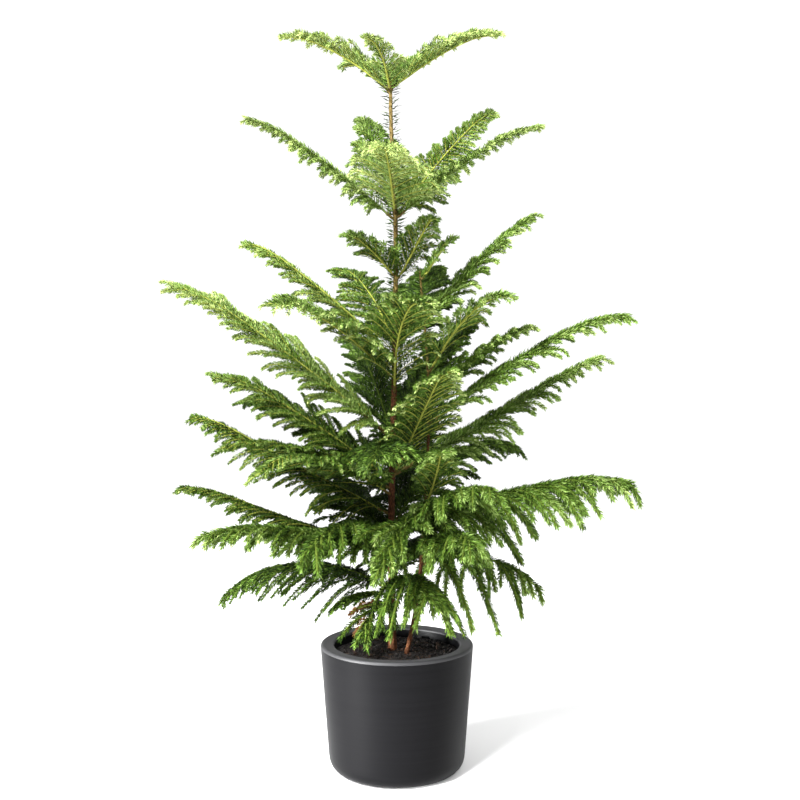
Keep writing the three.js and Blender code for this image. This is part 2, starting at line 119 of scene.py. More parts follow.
TRUNK = Stem(
    name="trunk", foot_radius=6.2, top_radius=2.9, tip_radius=0.9, tip_length=45,
    flare=3.4, flare_height=14,
    path=[
        (-7, 0, SOIL_LEVEL + GAP),
        (-9, 2, 420),
        (-5, 0, 600),
        (-2, 0, 880),
        (-9, 0, 1040),
        (-11, 0, 1150),
    ],
)
SECOND = Stem(
    name="second_stem", foot_radius=3.4, top_radius=1.9, tip_radius=0.8, tip_length=30,
    flare=1.6, flare_height=10,
    path=[
        (15, -22, SOIL_LEVEL + GAP),
        (32, -24, 276),
        (45, -24, 420),
        (51, -22, 627),
        (37, -18, 812),
    ],
)
YOUNG_FROM = 760
LEADER_FROM = 1000
SECOND_YOUNG_FROM = 560
STEM_CURVE_STEPS = 60
STEM_RING_STEP = 2.0
STEM_SINK = 6
STEM_OVERLAP = 1
STEM_FLAKE = 7
STEM_RELIEF = 1.1

# Bark relief: the drift of its rows of flakes, how sharply a flake starts and the grain between flakes
BARK_SIDE = np.array([0.0, 1.0, 0.01])
ROW_DRIFT = 2.2
DRIFT_STRETCH = (1, 1, 0.4)
FLAKE_SHARPNESS = 1.5
GRAIN_STRETCH = (1, 1, 0.35)
GRAIN_SHARE = 0.5
RELIEF_MIDDLE = 0.45
RELIEF_MOST = 0.22


# Boughs, whorl by whorl from the top down, as in the solids. Each gives its first eight values in the order
# of the class: side, height, azimuth, reach, rise, arch, freshness and spacing. What is None is the
# whorl's.
# Freshness is how light its green is, from 0 for old dark needles to 1 for new lime ones, and its low
# values on back and lower boughs also stand for painted shade. Spacing is from twig to twig, tips is how
# much lighter twigs end, limb is its woody share and style is a twig style from below.
@dataclass
class Bough:
    side: str
    height: float
    azimuth: float
    reach: float
    rise: float
    arch: float
    fresh: float
    spacing: float
    tips: float = 0.1
    limb: float = 0
    roll: float = 0
    angle: float = None
    twig: float = None
    lift: float = None
    hang: float = None
    style: str = None


@dataclass
class Whorl:
    name: str
    stem: Stem
    twig: float
    angle: float
    lift: float
    hang: float
    boughs: list
    style: str = "open"


WHORLS = [
    Whorl("1", TRUNK, twig=56, angle=40, lift=0.35, hang=0.1, boughs=[
        Bough("left", 1107, 178, 177, 84, 0.09, 0.9, 9, tips=0.2, twig=66),
        Bough("right", 1109, -6, 175, 78, 0.07, 0.85, 9, tips=0.2, twig=72),
        Bough("front", 1103, 251, 112, 52, 0.12, 0.85, 11, tips=0.25, twig=46),
        Bough("back", 1105, 68, 165, 84, 0.08, 0.7, 11),
        Bough("back_left", 1101, 124, 155, 76, 0.08, 0.7, 11),
    ]),
    Whorl("2", TRUNK, twig=86, angle=58, lift=0.2, hang=0.2, boughs=[
        Bough("left", 898, 188, 248, 155, 0.05, 0.85, 10, angle=44, twig=42, lift=-0.12, style="spear"),
        Bough("front", 906, 265, 190, 66, 0.1, 0.92, 11, tips=0.35, angle=62, twig=92, lift=0.25),
        Bough("right", 900, -14, 244, 133, 0.06, 0.82, 11, tips=0.2, angle=46, twig=42, lift=0.25,
              style="spear"),
        Bough("right_back", 904, 25, 190, 188, 0.03, 0.65, 8, roll=60, angle=56, twig=52, lift=0.1,
              style="strand"),
        Bough("left_back", 902, 110, 178, 196, 0.03, 0.65, 8, lift=0.3),
    ]),
    Whorl("3", TRUNK, twig=64, angle=50, lift=0.2, hang=0.15, boughs=[
        Bough("front_left", 806, 215, 92, 60, 0.05, 0.6, 7),
        Bough("front_right", 800, 318, 78, 92, 0.05, 0.6, 6.5),
    ]),
    Whorl("4", TRUNK, twig=98, angle=55, lift=0.1, hang=0.2, boughs=[
        Bough("left", 676, 185, 247, 182, 0.03, 0.72, 10.5, roll=-25, angle=38, twig=74, lift=-0.1,
              style="strand"),
        Bough("left_front", 640, 222, 245, 106, 0.09, 0.65, 10, tips=0.5, roll=-10, twig=114, lift=0.2),
        Bough("right", 690, 12, 244, 224, 0.02, 0.65, 13, tips=0.25, roll=10, angle=28, twig=84,
              lift=-0.05, style="spear"),
        Bough("front", 616, 281, 230, 128, 0.12, 0.5, 11, tips=0.5, angle=40, twig=115, lift=0.2),
        Bough("back", 682, 72, 255, 160, 0.05, 0.4, 7, style="spear"),
        Bough("back_left", 686, 116, 250, 150, 0.05, 0.5, 10, style="strand"),
    ]),
    Whorl("5", TRUNK, twig=98, angle=30, lift=0.08, hang=0.15, boughs=[
        Bough("left", 543, 200, 367, 240, 0.01, 0.82, 10.5, limb=0.18, roll=-42, angle=40, twig=118,
              style="strand"),
        Bough("right_back", 555, 45, 200, 190, 0.06, 0.4, 7, angle=52, style="spear"),
        Bough("back", 548, 74, 320, 150, 0.06, 0.35, 6.5, style="spear"),
        Bough("back_left", 538, 108, 320, 175, 0.06, 0.42, 9.5, style="strand"),
    ]),
    Whorl("6", TRUNK, twig=100, angle=50, lift=0.08, hang=0.2, boughs=[
        Bough("left", 474, 190, 292, 170, 0.03, 0.6, 10.5, roll=-30, twig=118, style="strand"),
        Bough("left_front", 460, 209, 302, 70, 0.07, 0.55, 11, style="strand"),
        Bough("front_left", 450, 233, 315, 50, 0.1, 0.55, 11, tips=0.3, style="strand"),
        Bough("front", 500, 262, 205, 15, 0.12, 0.34, 11, tips=0.2, hang=0.45),
        Bough("front_right", 478, 291, 220, 168, 0.09, 0.46, 8, tips=0.45, angle=52, twig=110),
        Bough("right", 483, 5, 362, 194, -0.02, 0.7, 13, limb=0.18, roll=15, angle=30, twig=100,
              hang=0.35, style="spear"),
        Bough("back", 462, 78, 335, 110, 0.07, 0.35, 7.5, style="spear"),
        Bough("back_left", 468, 146, 335, 125, 0.06, 0.35, 7.5, style="spear"),
    ]),
    Whorl("7", TRUNK, twig=104, angle=48, lift=-0.02, hang=0.35, boughs=[
        Bough("left_up", 418, 178, 338, 162, -0.01, 0.5, 10, lift=-0.08, style="strand"),
        Bough("right", 396, 351, 396, 75, 0.04, 0.58, 14, limb=0.18, twig=128, hang=0.62),
        Bough("right_front", 385, 306, 262, 92, 0.05, 0.54, 17, hang=0.45),
        Bough("left_front", 365, 211, 332, 38, 0.03, 0.6, 17, tips=0.25, hang=0.3),
        Bough("front_left", 385, 238, 230, 0, 0.1, 0.44, 17, hang=0.55),
        Bough("left", 354, 186, 349, 112, -0.02, 0.46, 9.5, limb=0.2, style="strand"),
        Bough("right_back", 400, 42, 320, 105, 0.13, 0.4, 9.5, angle=32, style="spear"),
        Bough("back", 372, 80, 335, 105, 0.1, 0.35, 8.5, style="spear"),
        Bough("back_left", 362, 120, 330, 95, 0.1, 0.35, 8.5, style="spear"),
    ], style="rope"),
    Whorl("8", TRUNK, twig=100, angle=50, lift=0, hang=0.5, boughs=[
        Bough("left_back", 292, 160, 324, -46, 0.14, 0.34, 10, style="strand"),
        Bough("front", 300, 292, 150, 0, 0.14, 0.42, 10, angle=55, twig=105, hang=0.8),
        Bough("front_left", 272, 238, 92, -46, 0.14, 0.3, 22, angle=40, twig=84),
        Bough("left", 282, 176, 105, -30, 0.12, 0.45, 12, angle=22, twig=36, style="strand"),
        Bough("back", 306, 66, 260, 12, 0.14, 0.3, 10, twig=110, hang=0.3, style="spear"),
    ], style="rope"),
    Whorl("s1", SECOND, twig=46, angle=46, lift=0.2, hang=0.15, boughs=[
        Bough("right", 798, 8, 55, 68, 0.05, 0.65, 11),
    ]),
    Whorl("s2", SECOND, twig=80, angle=46, lift=0.15, hang=0.2, boughs=[
        Bough("right", 606, 345, 172, 113, 0.05, 0.6, 12, tips=0.3, style="spear"),
        Bough("front_right", 648, 320, 162, 114, 0.14, 0.65, 11),
    ]),
    Whorl("s3", SECOND, twig=90, angle=26, lift=0.05, hang=0.2, boughs=[
        Bough("right", 565, 352, 323, 172, 0.06, 0.65, 13, roll=10, angle=24, twig=84, lift=-0.05,
              style="spear"),
    ]),
    Whorl("s4", SECOND, twig=98, angle=50, lift=0, hang=0.5, boughs=[
        Bough("front_up", 432, 275, 180, 96, 0.1, 0.55, 14, tips=0.2, angle=34, twig=80, lift=0.1,
              hang=0.2, style="open"),
        Bough("front", 402, 250, 200, -45, 0.14, 0.52, 17, tips=0.25, angle=25, twig=110, hang=0.12),
        Bough("front_right", 352, 290, 200, 46, 0.09, 0.52, 14, tips=0.2),
        Bough("right", 338, 14, 212, -58, 0.13, 0.54, 18, angle=95, twig=100, hang=0.8),
    ], style="rope"),
]


# Twig styles: the wood's radius, and the length, step and number of rows of its needles.
# Wild is how much the twigs differ from each other, spread widens their angle, nod bends their ends down
# and taper shortens their last needles. Bough_rows and bough_needle are for the bough's own needles,
# bough_rise lifts its stalk off its axis, and yellow is for stalks that are yellow on young boughs.
@dataclass
class Style:
    radius: float
    needle: float
    step: float
    rows: int
    wild: float
    spread: float = 1
    nod: float = 1
    taper: float = 0.2
    bough_rows: int = 4
    bough_needle: float = 16
    bough_rise: float = 0
    yellow: bool = False


STYLES = {
    "open": Style(radius=0.8, needle=12, step=3.2, rows=4, wild=1, taper=0.35, bough_rows=2,
                  bough_rise=-1.5, yellow=True),
    "strand": Style(radius=1.3, needle=9.5, step=2.4, rows=6, wild=1.1, spread=1.1, nod=0.3, taper=0.45,
                    bough_needle=9, bough_rise=2.5, yellow=True),
    "spear": Style(radius=1.8, needle=8.5, step=2.4, rows=6, wild=1.3),
    "rope": Style(radius=3.6, needle=13, step=1.8, rows=6, wild=2),
}
STYLED = ("radius", "needle", "step", "rows", "taper")
# Freshness above which open fronds and strands have yellow stalks; freshness also carries painted shade.
YELLOW_STALK_FROM = 0.45

# Bough axes, as in the solids, and their wood
SWEEP = 0.05
ROLL = 12
AXIS_NOD = 0.05
AXIS_NOD_FROM = 0.72
AXIS_END = 0.97
AXIS_STEPS = 26
AXIS_SIDES = 7
AXIS_ROOT_RADIUS = 1.9
AXIS_TIP_RADIUS = 0.8
AXIS_RISE_SHARE = 0.1
BARE_SHARE = 0.05
BARE_THICKNESS = 1.25
STALK_OVERLAP = 0.9
LIMB_ROOT_RADIUS = 3.4
LIMB_SIDES = 14
LIMB_SINK = 2.5
LIMB_FLAKE = 6
LIMB_RELIEF = 0.7
FEWEST_RINGS = 4

# Twigs: the solids' rule, with the twigs as close together as the living ones
TWIG_SHARE_MOST = 0.7
FIRST_TWIG = 0.06
LAST_TWIG = 0.95
PLACE_SWING = 0.4
TIP_ANGLE_SHARE = 0.6
ANGLE_SWING = 8
LIFT_SWING = 0.14
LENGTH_SWING = 0.19
LENGTH_RANGE = 1.7
HANG_SWING = 0.25
WIDEST_AT = 0.13
PROFILE_RISE = 0.35
PROFILE_FALL = 0.75
PROFILE_LEAST = 0.25
TWIG_NOD = 9
TWIG_NOD_LENGTH = 18
TWIG_NOD_SHARE = 0.3
TWIG_NOD_LEAST = 0.5
TWIG_TIP_SHARE = 0.75
TWIG_STEPS = 6
TWIG_SIDES = 4

# Twigs that would reach into the pot, tested at shares of their length, grow shorter
TESTED_AT = (0.5, 0.75, 1)
SHORTER = (1, 0.85, 0.7, 0.55, 0.4)
WALL_GAP = 4
RIM_GAP = 5
SOIL_GAP = 6

# Needles: half a blade's width, where it bends and its faces
NEEDLE_HALF_WIDTH = 1.0
NEEDLE_BEND_AT = 0.45
NEEDLE_TRIANGLES = 2
GOLDEN_ANGLE = math.pi * (3 - math.sqrt(5))

# Needles stand in rows along the wood: the turn of each row from the upper side, and where in a step it
# starts. Wood with fewer rows has the first of them.
NEEDLE_ROWS = [(-90, 0), (90, 0.1), (-42, 0.5), (42, 0.6), (-142, 0.25), (142, 0.8)]
ROW_SCATTER = 0.14
TURN_SCATTER = 9
FEWEST_STEPS = 3
FIRST_NEEDLE = 0.02


# How needles stand on wood, in degrees: their spread from its root to its tip and their curl along it, each
# with its scatter. Shortest and longer are for their lengths, and tone_scatter is for their greens.
@dataclass
class Stand:
    spread: tuple
    spread_scatter: float
    curl: float
    curl_scatter: float
    shortest: float
    longer: float
    tone_scatter: float


TWIG_STAND = Stand((56, 44), 6, curl=20, curl_scatter=6, shortest=0.85, longer=0.3, tone_scatter=0.09)
BRUSH_STAND = Stand((30, 30), 7, curl=24, curl_scatter=5, shortest=0.8, longer=0.4, tone_scatter=0.05)
BOUGH_STAND = Stand((64, 32), 6, curl=20, curl_scatter=6, shortest=0.85, longer=0.3, tone_scatter=0.08)
STEM_STAND = Stand((80, 80), 9, curl=8, curl_scatter=6, shortest=0.75, longer=0.4, tone_scatter=0.08)
BOUGH_NEEDLE_STEP = 4
BOUGH_NEEDLE_TAPER = 0.3
BRUSH_NEEDLES = 18
BRUSH_LENGTH = 8
BRUSH_GROWTH = 2
BRUSH_SHARE_MOST = 0.5
BRUSH_NEEDLE_SHARE = 0.95

# Short needles on the stems: from and to which height, their length, their spacing and their tone
STEM_NEEDLES = [
    (TRUNK, 560, YOUNG_FROM, 14, 0.5, 0.3),
    (TRUNK, YOUNG_FROM, LEADER_FROM, 18, 0.4, 0.25),
    (TRUNK, LEADER_FROM, 1148, 18, 0.9, 0.15),
    (SECOND, 400, 810, 14, 0.45, 0.35),
]
STEM_NEEDLE_DEPTH = 0.6

# Tones of needles, which choose their greens: from the bough's freshness, which also carries painted shade,
# and lighter towards the tips of boughs and twigs, so darker towards their roots as painted shade for the
# dense inside of the crown.
FRESH_AND_SHADE_TONE = 0.75
BOUGH_PAINTED_SHADE_SLOPE = 0.14
TWIG_PAINTED_SHADE_SLOPE = 0.12
TWIG_TONE_SCATTER = 0.06
BOUGH_TONE_DROP = 0.04
NEW_GROWTH_TONE = 0.1
NEW_GROWTH_FROM = 0.85

# Needle greens, darkest first, for old needles and for painted shade: the highest tone that takes each one,
# and its colour
GREENS = [
    ("deep", 0.24, (0.010, 0.022, 0.003)),
    ("dark", 0.38, (0.026, 0.054, 0.006)),
    ("mid", 0.52, (0.068, 0.125, 0.016)),
    ("light", 0.72, (0.160, 0.240, 0.058)),
    ("lime", 9.0, (0.330, 0.410, 0.135)),
]
DRY = ("dry", (0.080, 0.036, 0.011))
DRY_BOUGH = "8_front_left"
DRY_EVERY = 4

# Colours of barks and stalks: hollows, flakes and flecks
BARKS = {
    "bark_scaly": ((0.010, 0.003, 0.001), (0.055, 0.020, 0.008), (0.115, 0.050, 0.020)),
    "bark_olive": ((0.030, 0.018, 0.005), (0.095, 0.066, 0.018), (0.180, 0.135, 0.045)),
    "bark_leader": ((0.050, 0.036, 0.010), (0.130, 0.092, 0.030), (0.230, 0.170, 0.070)),
    "stalk_yellow": ((0.110, 0.125, 0.018), (0.220, 0.240, 0.038), (0.340, 0.350, 0.070)),
    "stalk_green": ((0.025, 0.045, 0.005), (0.055, 0.085, 0.009), (0.100, 0.130, 0.018)),
}

# Colours of the pot, its rim, the soil, what lies on it and the floor: dark and pale. The rim's paler grey
# is painted light, for its top lit from above.
POT_CHARCOAL = ((0.0019, 0.0019, 0.0022), (0.0030, 0.0030, 0.0034))
POT_RIM_PAINTED_LIGHT = ((0.0120, 0.0121, 0.0128), (0.0180, 0.0181, 0.0192))
SOIL_DARK = ((0.002, 0.0013, 0.001), (0.012, 0.007, 0.0045))
SOIL_BITS = ((0.014, 0.006, 0.003), (0.045, 0.021, 0.010))
SOIL_GRAINS = ((0.16, 0.15, 0.13), (0.28, 0.27, 0.24))
SOIL_FIBRES = ((0.030, 0.015, 0.007), (0.090, 0.050, 0.024))
FLOOR_PALE = ((0.86, 0.86, 0.86), (0.88, 0.88, 0.88))

# Floor, and camera as fitted to the pot's rim and foot
FLOOR_HALF_SIDE = 12000
FLOOR_STEPS = 12
CAMERA_PLACE = (5.1, -1730, 652)
CAMERA_DIP = 1.6
CAMERA_LENS = 47.7
CAMERA_SENSOR = 36
CAMERA_CLIP = 100


# Small helpers

def mix(low, high, share):
    return low + (high - low) * share


def unit(vectors):
    return vectors / np.linalg.norm(vectors, axis=-1, keepdims=True)


# The same draws between 0 and 1 as in the solids.
def seeded_random(seed):
    state = seed
    while True:
        state = (state * DRAW_FACTOR + DRAW_STEP) % DRAW_RANGE
        yield state / DRAW_RANGE


# Random numbers between -1 and 1.
def swing(count):
    return 2 * rng.random(count) - 1


# Smooth noise between 0 and 1 on a lattice of cells of the given size.
def smooth_noise(points, cell, seed):
    place = np.asarray(points, float) / cell
    corner = np.floor(place).astype(np.int64)
    share = place - corner
    share = share * share * (3 - 2 * share)
    total = np.zeros(len(place))
    for step in np.ndindex(2, 2, 2):
        at = corner + np.array(step)
        mixed = np.bitwise_xor.reduce(at * LATTICE_PRIMES, axis=1) ^ (seed * SEED_PRIME)
        mixed = (mixed ^ (mixed >> 13)) * MIXING_PRIME
        value = ((mixed ^ (mixed >> 16)) & LOW_BITS) / LOW_BITS
        weight = np.where(np.array(step) == 1, share, 1 - share).prod(axis=1)
        total += weight * value
    return total


# Meshes from arrays

# Triangles between rings of corners that follow each other.
def ring_triangles(rings, corners):
    ring, corner = np.meshgrid(np.arange(rings - 1), np.arange(corners), indexing="ij")
    here = ring * corners + corner
    beside = ring * corners + (corner + 1) % corners
    first = np.stack([here, beside, beside + corners], axis=-1)
    second = np.stack([here, beside + corners, here + corners], axis=-1)
    return np.concatenate([first.reshape(-1, 3), second.reshape(-1, 3)])


# Repeats one thing's triangles for many things alike.
def repeat_triangles(triangles, count, corners):
    offsets = np.arange(count)[:, None, None] * corners
    return (triangles[None] + offsets).reshape(-1, 3)


def join(shapes):
    points = np.concatenate([shape[0] for shape in shapes])
    starts = np.cumsum([0] + [len(shape[0]) for shape in shapes[:-1]])
    triangles = np.concatenate([shape[1] + start for shape, start in zip(shapes, starts)])
    return points, triangles


# Joins groups of twigs, or of needles, array by array.
def join_groups(groups):
    kind = type(groups[0])
    names = kind.__dataclass_fields__
    return kind(**{name: np.concatenate([getattr(group, name) for group in groups]) for name in names})


# Puts data into the scene as an object of the given name.
def add_object(name, data):
    thing = bpy.data.objects.new(name, data)
    bpy.context.scene.collection.objects.link(thing)
    return thing


def make_piece(name, shape, material, replaced=(), smooth=True):
    points, triangles = shape
    mesh = bpy.data.meshes.new(name)
    mesh.vertices.add(len(points))
    mesh.vertices.foreach_set("co", (points * MM).astype(np.float32).ravel())
    mesh.loops.add(triangles.size)
    mesh.loops.foreach_set("vertex_index", triangles.astype(np.int32).ravel())
    mesh.polygons.add(len(triangles))
    mesh.polygons.foreach_set("loop_start", np.arange(0, triangles.size, 3, dtype=np.int32))
    mesh.polygons.foreach_set("use_smooth", np.full(len(triangles), smooth))
    mesh.update(calc_edges=True)
    mesh.validate()
    mesh.materials.append(material)
    piece = add_object(name, mesh)
    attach(piece, "root")
    if replaced:
        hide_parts(*replaced)


# Rings of corners around a tube's points, square to its run. Works on many tubes at once.
def tube_rings(points, radii, sides, side_hint):
    along = unit(np.gradient(points, axis=-2))
    across = unit(np.cross(side_hint, along))
    above = np.cross(along, across)
    angles = 2 * math.pi * np.arange(sides) / sides
    circle = np.cos(angles)[:, None] * across[..., None, :] + np.sin(angles)[:, None] * above[..., None, :]
    return points[..., None, :] + circle * radii[..., None, None]


# Materials

@dataclass
class Noise:
    size: float
    detail: float
    roughness: float = 0.5
    stretch: tuple = (1, 1, 1)


def add_node(tree, kind, **values):
    node = tree.nodes.new(kind)
    for name, value in values.items():
        node.inputs[name].default_value = value
    return node


def noise_factor(tree, noise):
    coordinates = tree.nodes.new("ShaderNodeTexCoord")
    mapping = add_node(tree, "ShaderNodeMapping", Scale=noise.stretch)
    texture = add_node(
        tree, "ShaderNodeTexNoise", Scale=noise.size, Detail=noise.detail, Roughness=noise.roughness)
    tree.links.new(coordinates.outputs["Object"], mapping.inputs["Vector"])
    tree.links.new(mapping.outputs["Vector"], texture.inputs["Vector"])
    return texture.outputs["Fac"]


def colour_ramp(tree, factor, places, colours):
    ramp = tree.nodes.new("ShaderNodeValToRGB")
    while len(ramp.color_ramp.elements) < len(places):
        ramp.color_ramp.elements.new(0.5)
    for element, place, colour in zip(ramp.color_ramp.elements, places, colours):
        element.position = place
        element.color = (*colour, 1)
    tree.links.new(factor, ramp.inputs["Fac"])
    return ramp.outputs["Color"]


# A material whose colours change at places in one noise. A bump is a strength and a distance in metres.
def noise_material(name, noise, places, colours, roughness, gloss=0.5, bump=None):
    material = bpy.data.materials.new(name)
    material.use_nodes = True
    tree = material.node_tree
    shader = tree.nodes["Principled BSDF"]
    factor = noise_factor(tree, noise)
    tree.links.new(colour_ramp(tree, factor, places, colours), shader.inputs["Base Color"])
    shader.inputs["Roughness"].default_value = roughness
    shader.inputs["Specular IOR Level"].default_value = gloss
    if bump:
        strength, distance = bump
        relief = add_node(tree, "ShaderNodeBump", Strength=strength, Distance=distance)
        tree.links.new(factor, relief.inputs["Height"])
        tree.links.new(relief.outputs["Normal"], shader.inputs["Normal"])
    return material


def needle_material(name, colour):
    colours = [tuple(channel * shade for channel in colour) for shade in (0.8, 1.2)]
    return noise_material(name, Noise(size=45, detail=2), (0.35, 0.65), colours, roughness=0.5, gloss=0.07)


def bark_material(name):
    scales = Noise(size=420, detail=5, roughness=0.65, stretch=(1, 1, 0.5))
    places = (0.3, 0.52, 0.72)
    return noise_material(name, scales, places, BARKS[name], roughness=0.85, gloss=0.1, bump=(0.6, 0.0008))


def pot_material(name, colours, roughness, gloss):
    turning = Noise(size=1, detail=5, roughness=0.6, stretch=(2.5, 2.5, 260))
    return noise_material(name, turning, (0.3, 0.7), colours, roughness, gloss, bump=(0.12, 0.0006))


def soil_material(name, colours):
    grain = Noise(size=320, detail=6, roughness=0.7)
    return noise_material(name, grain, (0.35, 0.7), colours, roughness=0.95, bump=(0.8, 0.002))


def floor_material():
    return noise_material("floor_pale", Noise(size=0.8, detail=3), (0.3, 0.7), FLOOR_PALE, roughness=0.9)


# Pot

def arc_points(start, corner, end, steps):
    share = np.linspace(0, 1, steps + 1)[:, None]
    start, corner, end = (np.array(point, float) for point in (start, corner, end))
    return (1 - share) ** 2 * start + 2 * share * (1 - share) * corner + share ** 2 * end


def line_points(start, end, steps):
    return mix(np.array(start, float), np.array(end, float), np.linspace(0, 1, steps + 1)[:, None])


def turned_shape(outline):
    angles = 2 * math.pi * np.arange(POT_SEGMENTS) / POT_SEGMENTS
    radius = outline[:, 0][:, None]
    height = np.repeat(outline[:, 1][:, None], POT_SEGMENTS, axis=1)
    points = np.stack([radius * np.cos(angles), radius * np.sin(angles), height], axis=-1)
    return points.reshape(-1, 3), ring_triangles(len(outline), POT_SEGMENTS)


# The pot's walls and its rim, which join where the rim starts to round.
def pot_shapes():
    foot = POT_FOOT_RADIUS - POT_CORNER_RADIUS
    slope = (POT_RIM_RADIUS - POT_FOOT_RADIUS) / POT_HEIGHT
    wall_start = (POT_FOOT_RADIUS + slope * POT_CORNER_RADIUS, POT_CORNER_RADIUS)
    shoulder = POT_HEIGHT - RIM_ROUNDING
    lip = POT_HEIGHT - RIM_DIP
    rim_out = (POT_RIM_RADIUS - RIM_ROUNDING, POT_HEIGHT)
    rim_in = (POT_MOUTH_RADIUS + RIM_ROUNDING, lip)
    inner_foot = (POT_INNER_FOOT_RADIUS, POT_FLOOR)
    outside = np.concatenate([
        line_points((POT_CENTRE_RADIUS, 0), (foot, 0), POT_FLAT_STEPS)[:-1],
        arc_points((foot, 0), (POT_FOOT_RADIUS, 0), wall_start, POT_CURVE_STEPS)[:-1],
        line_points(wall_start, (POT_RIM_RADIUS, shoulder), POT_WALL_STEPS),
    ])
    rim = np.concatenate([
        arc_points((POT_RIM_RADIUS, shoulder), (POT_RIM_RADIUS, POT_HEIGHT), rim_out, POT_CURVE_STEPS)[:-1],
        line_points(rim_out, rim_in, POT_FLAT_STEPS)[:-1],
        arc_points(rim_in, (POT_MOUTH_RADIUS, lip), (POT_MOUTH_RADIUS, shoulder), POT_CURVE_STEPS),
    ])
    inside = np.concatenate([
        line_points((POT_MOUTH_RADIUS, shoulder), inner_foot, POT_WALL_STEPS)[:-1],
        line_points(inner_foot, (POT_CENTRE_RADIUS, POT_FLOOR), POT_FLAT_STEPS),
    ])
    return join([turned_shape(outside), turned_shape(inside)]), turned_shape(rim)


# Soil, with crumbs, bits of bark, pale grains and fibres on it

def soil_radius():
    share = (SOIL_LEVEL - POT_FLOOR) / (POT_HEIGHT - RIM_ROUNDING - POT_FLOOR)
    return mix(POT_INNER_FOOT_RADIUS, POT_MOUTH_RADIUS, share)


def soil_height(x, y):
    flat = np.stack([x, y, np.zeros_like(x)], axis=-1)
    lumps = sum(share * smooth_noise(flat, cell, seed) for cell, share, seed in SOIL_LUMPS)
    from_mound = (x - MOUND_CENTRE[0]) ** 2 + (y - MOUND_CENTRE[1]) ** 2
    mound = MOUND_HEIGHT * np.exp(-from_mound / MOUND_SPREAD)
    return SOIL_LEVEL - LUMPS_MIDDLE * SOIL_RELIEF + SOIL_RELIEF * lumps + mound


def soil_points(radius, angle):
    x = radius * np.cos(angle)
    y = radius * np.sin(angle)
    return np.stack([x, y, soil_height(x, y)], axis=-1)


def soil_shape():
    radius = np.linspace(SOIL_CENTRE_RADIUS, soil_radius() + SOIL_OVERLAP, SOIL_RINGS)
    angle = 2 * math.pi * np.arange(SOIL_SEGMENTS) / SOIL_SEGMENTS
    points = soil_points(np.repeat(radius, SOIL_SEGMENTS), np.tile(angle, SOIL_RINGS))
    return points, ring_triangles(SOIL_RINGS, SOIL_SEGMENTS)


def soil_places(count, margin):
    radius = (soil_radius() - margin) * np.sqrt(rng.random(count))
    return soil_points(radius, 2 * math.pi * rng.random(count))


def icosahedron():
    golden = (1 + math.sqrt(5)) / 2
    corners = [(0, a, b * golden) for a in (-1, 1) for b in (-1, 1)]
    corners = np.array([np.roll(corner, turn) for turn in range(3) for corner in corners])
    longest_edge = 2.1
    triangles = []
    for a, b, c in itertools.combinations(range(len(corners)), 3):
        sides = [np.linalg.norm(corners[i] - corners[j]) for i, j in ((a, b), (b, c), (c, a))]
        if max(sides) < longest_edge:
            facing = np.dot(np.cross(corners[b] - corners[a], corners[c] - corners[a]), corners[a])
            triangles.append((a, b, c) if facing > 0 else (a, c, b))
    return unit(corners.astype(float)), np.array(triangles)


def random_turns(count):
    w, x, y, z = unit(rng.normal(size=(count, 4))).T
    rows = [
        [1 - 2 * (y * y + z * z), 2 * (x * y - z * w), 2 * (x * z + y * w)],
        [2 * (x * y + z * w), 1 - 2 * (x * x + z * z), 2 * (y * z - x * w)],
        [2 * (x * z - y * w), 2 * (y * z + x * w), 1 - 2 * (x * x + y * y)],
    ]
    return np.array(rows).transpose(2, 0, 1)


def crumbs_shape(count, least, most, thickness):
    corners, triangles = icosahedron()
    size = mix(least, most, rng.random(count) ** 2)
    lumpy = corners[None] * (CRUMB_LEAST + CRUMB_LUMPS * rng.random((count, len(corners), 1)))
    width = 1 - CRUMB_NARROWING * rng.random(count)
    lumpy = lumpy * np.stack([np.ones(count), width, np.full(count, thickness)], axis=-1)[:, None]
    turned = np.einsum("nij,nkj->nki", random_turns(count), lumpy)
    places = soil_places(count, margin=most + 1)
    places[:, 2] += CRUMB_LIFT * size
    points = turned * (size / 2)[:, None, None] + places[:, None]
    return points.reshape(-1, 3), repeat_triangles(triangles, count, len(corners))


def fibres_shape(count, least, most):
    length = mix(least, most, rng.random(count))
    heading = 2 * math.pi * rng.random(count)
    bend = rng.normal(scale=FIBRE_BEND, size=count)
    share = np.linspace(-0.5, 0.5, FIBRE_STEPS + 1)
    angle = heading[:, None] + bend[:, None] * share
    places = soil_places(count, margin=most * FIBRE_MARGIN)
    x = places[:, :1] + length[:, None] * share * np.cos(angle)
    y = places[:, 1:2] + length[:, None] * share * np.sin(angle)
    lift = FIBRE_LIFT + FIBRE_ARCH * rng.random((count, 1)) * (1 - 4 * share ** 2)
    z = soil_height(x.ravel(), y.ravel()).reshape(x.shape) + lift
    points = np.stack([x, y, z], axis=-1)
    rings = tube_rings(points, np.full(x.shape, FIBRE_RADIUS), FIBRE_SIDES, UP)
    triangles = ring_triangles(FIBRE_STEPS + 1, FIBRE_SIDES)
    return rings.reshape(-1, 3), repeat_triangles(triangles, count, (FIBRE_STEPS + 1) * FIBRE_SIDES)


# Stems

